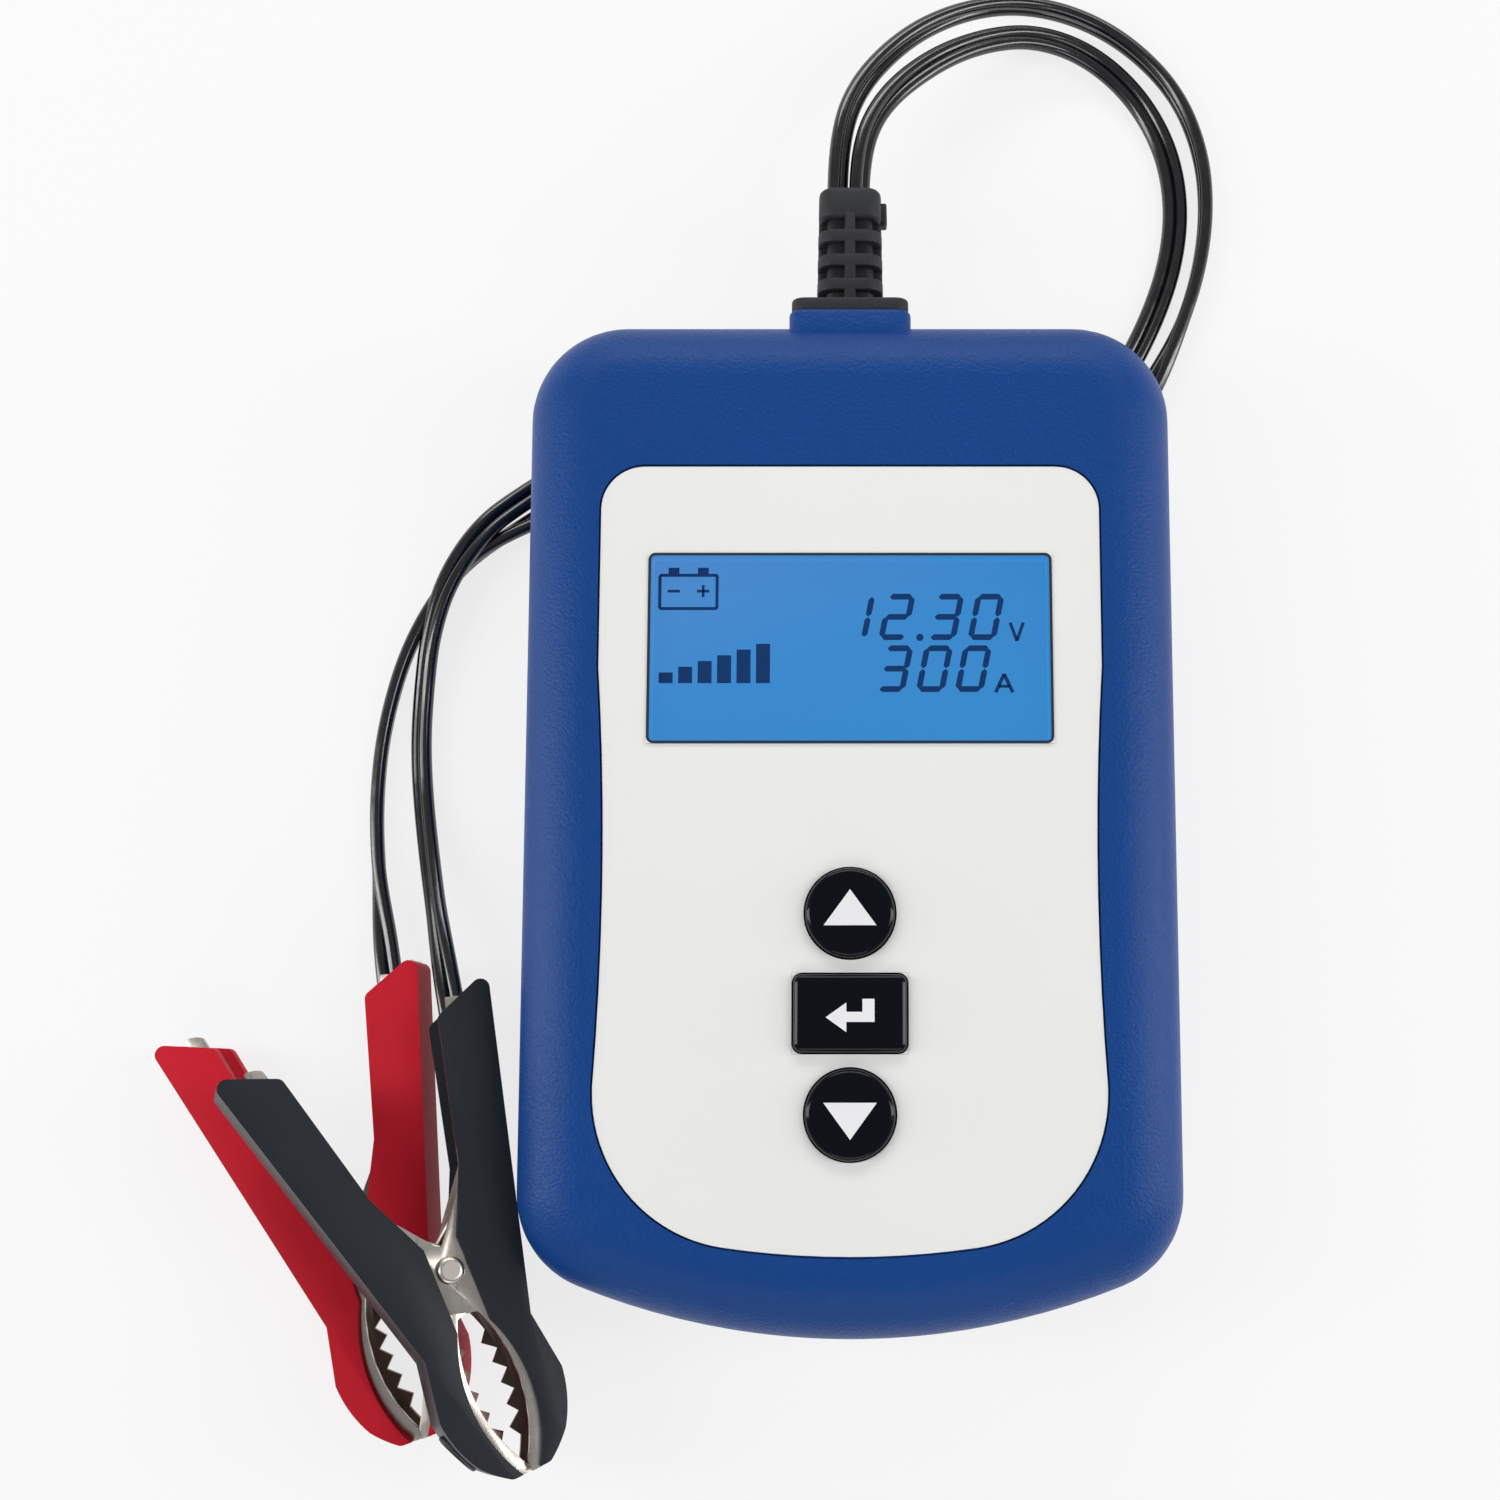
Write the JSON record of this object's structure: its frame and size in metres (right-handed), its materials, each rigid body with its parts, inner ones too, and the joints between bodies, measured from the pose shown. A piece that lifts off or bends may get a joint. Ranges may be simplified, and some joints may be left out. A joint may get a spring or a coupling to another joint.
{
  "type": "battery tester",
  "caption": "Handheld battery tester: rounded moulded case with a lit display, push keys and a slotted lead outlet, and twin leads that end in sprung toothed clips.",
  "frame": {"origin": "under the middle of the case, on the surface that its feet stand on", "axes": "+X to the right of the display, +Y towards the lead outlet, +Z out of the front of the case"},
  "size_m": [0.1457, 0.2066, 0.0291],
  "materials": {
    "case_blue": "fine matte grain",
    "panel_white": "satin",
    "window_clear": "clear",
    "display_blue": "lit",
    "backlight_white": "lit",
    "frame_black": "matte",
    "board_green": "satin",
    "key_black": "gloss",
    "switch_grey": "matte",
    "rubber_black": "matte",
    "screw_steel": "plated",
    "chip_black": "matte",
    "resistor_ceramic": "matte",
    "capacitor_can": "gloss",
    "terminal_tin": "tinned",
    "lead_black": "gloss",
    "nickel_steel": "nickel plated",
    "cover_red": "soft satin",
    "cover_black": "soft satin"
  },
  "bodies": {
    "tester": {"front_shell": "case_blue", "rear_shell": "case_blue", "face_panel": "panel_white", "window_lens": "window_clear", "lcd_glass": "display_blue", "backlight": "backlight_white", "lcd_frame": "frame_black", "circuit_board": "board_green", "key_switches": "switch_grey", "board_screws": "screw_steel", "case_screws": "screw_steel", "rubber_feet": "rubber_black", "controller_chip": "chip_black", "load_resistors": "resistor_ceramic", "filter_capacitor": "capacitor_can", "strain_relief": "rubber_black", "lead_tails": "lead_black", "lead_terminals": "terminal_tin", "red_lead": "lead_black", "black_lead": "lead_black", "red_fixed_jaw": "nickel_steel", "red_rivet": "nickel_steel", "red_crimp": "nickel_steel", "red_spring": "nickel_steel", "red_fixed_cover": "cover_red", "black_fixed_jaw": "nickel_steel", "black_rivet": "nickel_steel", "black_crimp": "nickel_steel", "black_spring": "nickel_steel", "black_fixed_cover": "cover_black"},
    "up_key": {"up_key": "key_black", "up_plunger": "switch_grey"},
    "enter_key": {"enter_key": "key_black", "enter_plunger": "switch_grey"},
    "down_key": {"down_key": "key_black", "down_plunger": "switch_grey"},
    "red_moving_half": {"red_moving_jaw": "nickel_steel", "red_moving_cover": "cover_red"},
    "black_moving_half": {"black_moving_jaw": "nickel_steel", "black_moving_cover": "cover_black"}
  },
  "joints": [
    {"name": "up_press", "type": "slide", "parent": "tester", "child": "up_key", "axis": [0, 0, -1], "range_m": [0, 0.0005], "stiffness_N_per_m": 300, "springref_m": -0.001},
    {"name": "enter_press", "type": "slide", "parent": "tester", "child": "enter_key", "axis": [0, 0, -1], "range_m": [0, 0.0005], "stiffness_N_per_m": 300, "springref_m": -0.001},
    {"name": "down_press", "type": "slide", "parent": "tester", "child": "down_key", "axis": [0, 0, -1], "range_m": [0, 0.0005], "stiffness_N_per_m": 300, "springref_m": -0.001},
    {"name": "red_clip_opening", "type": "hinge", "parent": "tester", "child": "red_moving_half", "pos_m": [-0.0645, -0.0556, 0.0046], "axis": [0, 0, -1], "range_deg": [0, 28], "stiffness_Nm_per_rad": 0.15, "springref_deg": -45.84, "deforming": ["red_spring"]},
    {"name": "black_clip_opening", "type": "hinge", "parent": "tester", "child": "black_moving_half", "pos_m": [-0.0515, -0.0588, 0.016], "axis": [-0.3125, -0.1391, -0.9397], "range_deg": [0, 28], "stiffness_Nm_per_rad": 0.15, "springref_deg": -45.84, "deforming": ["black_spring"]}
  ]
}
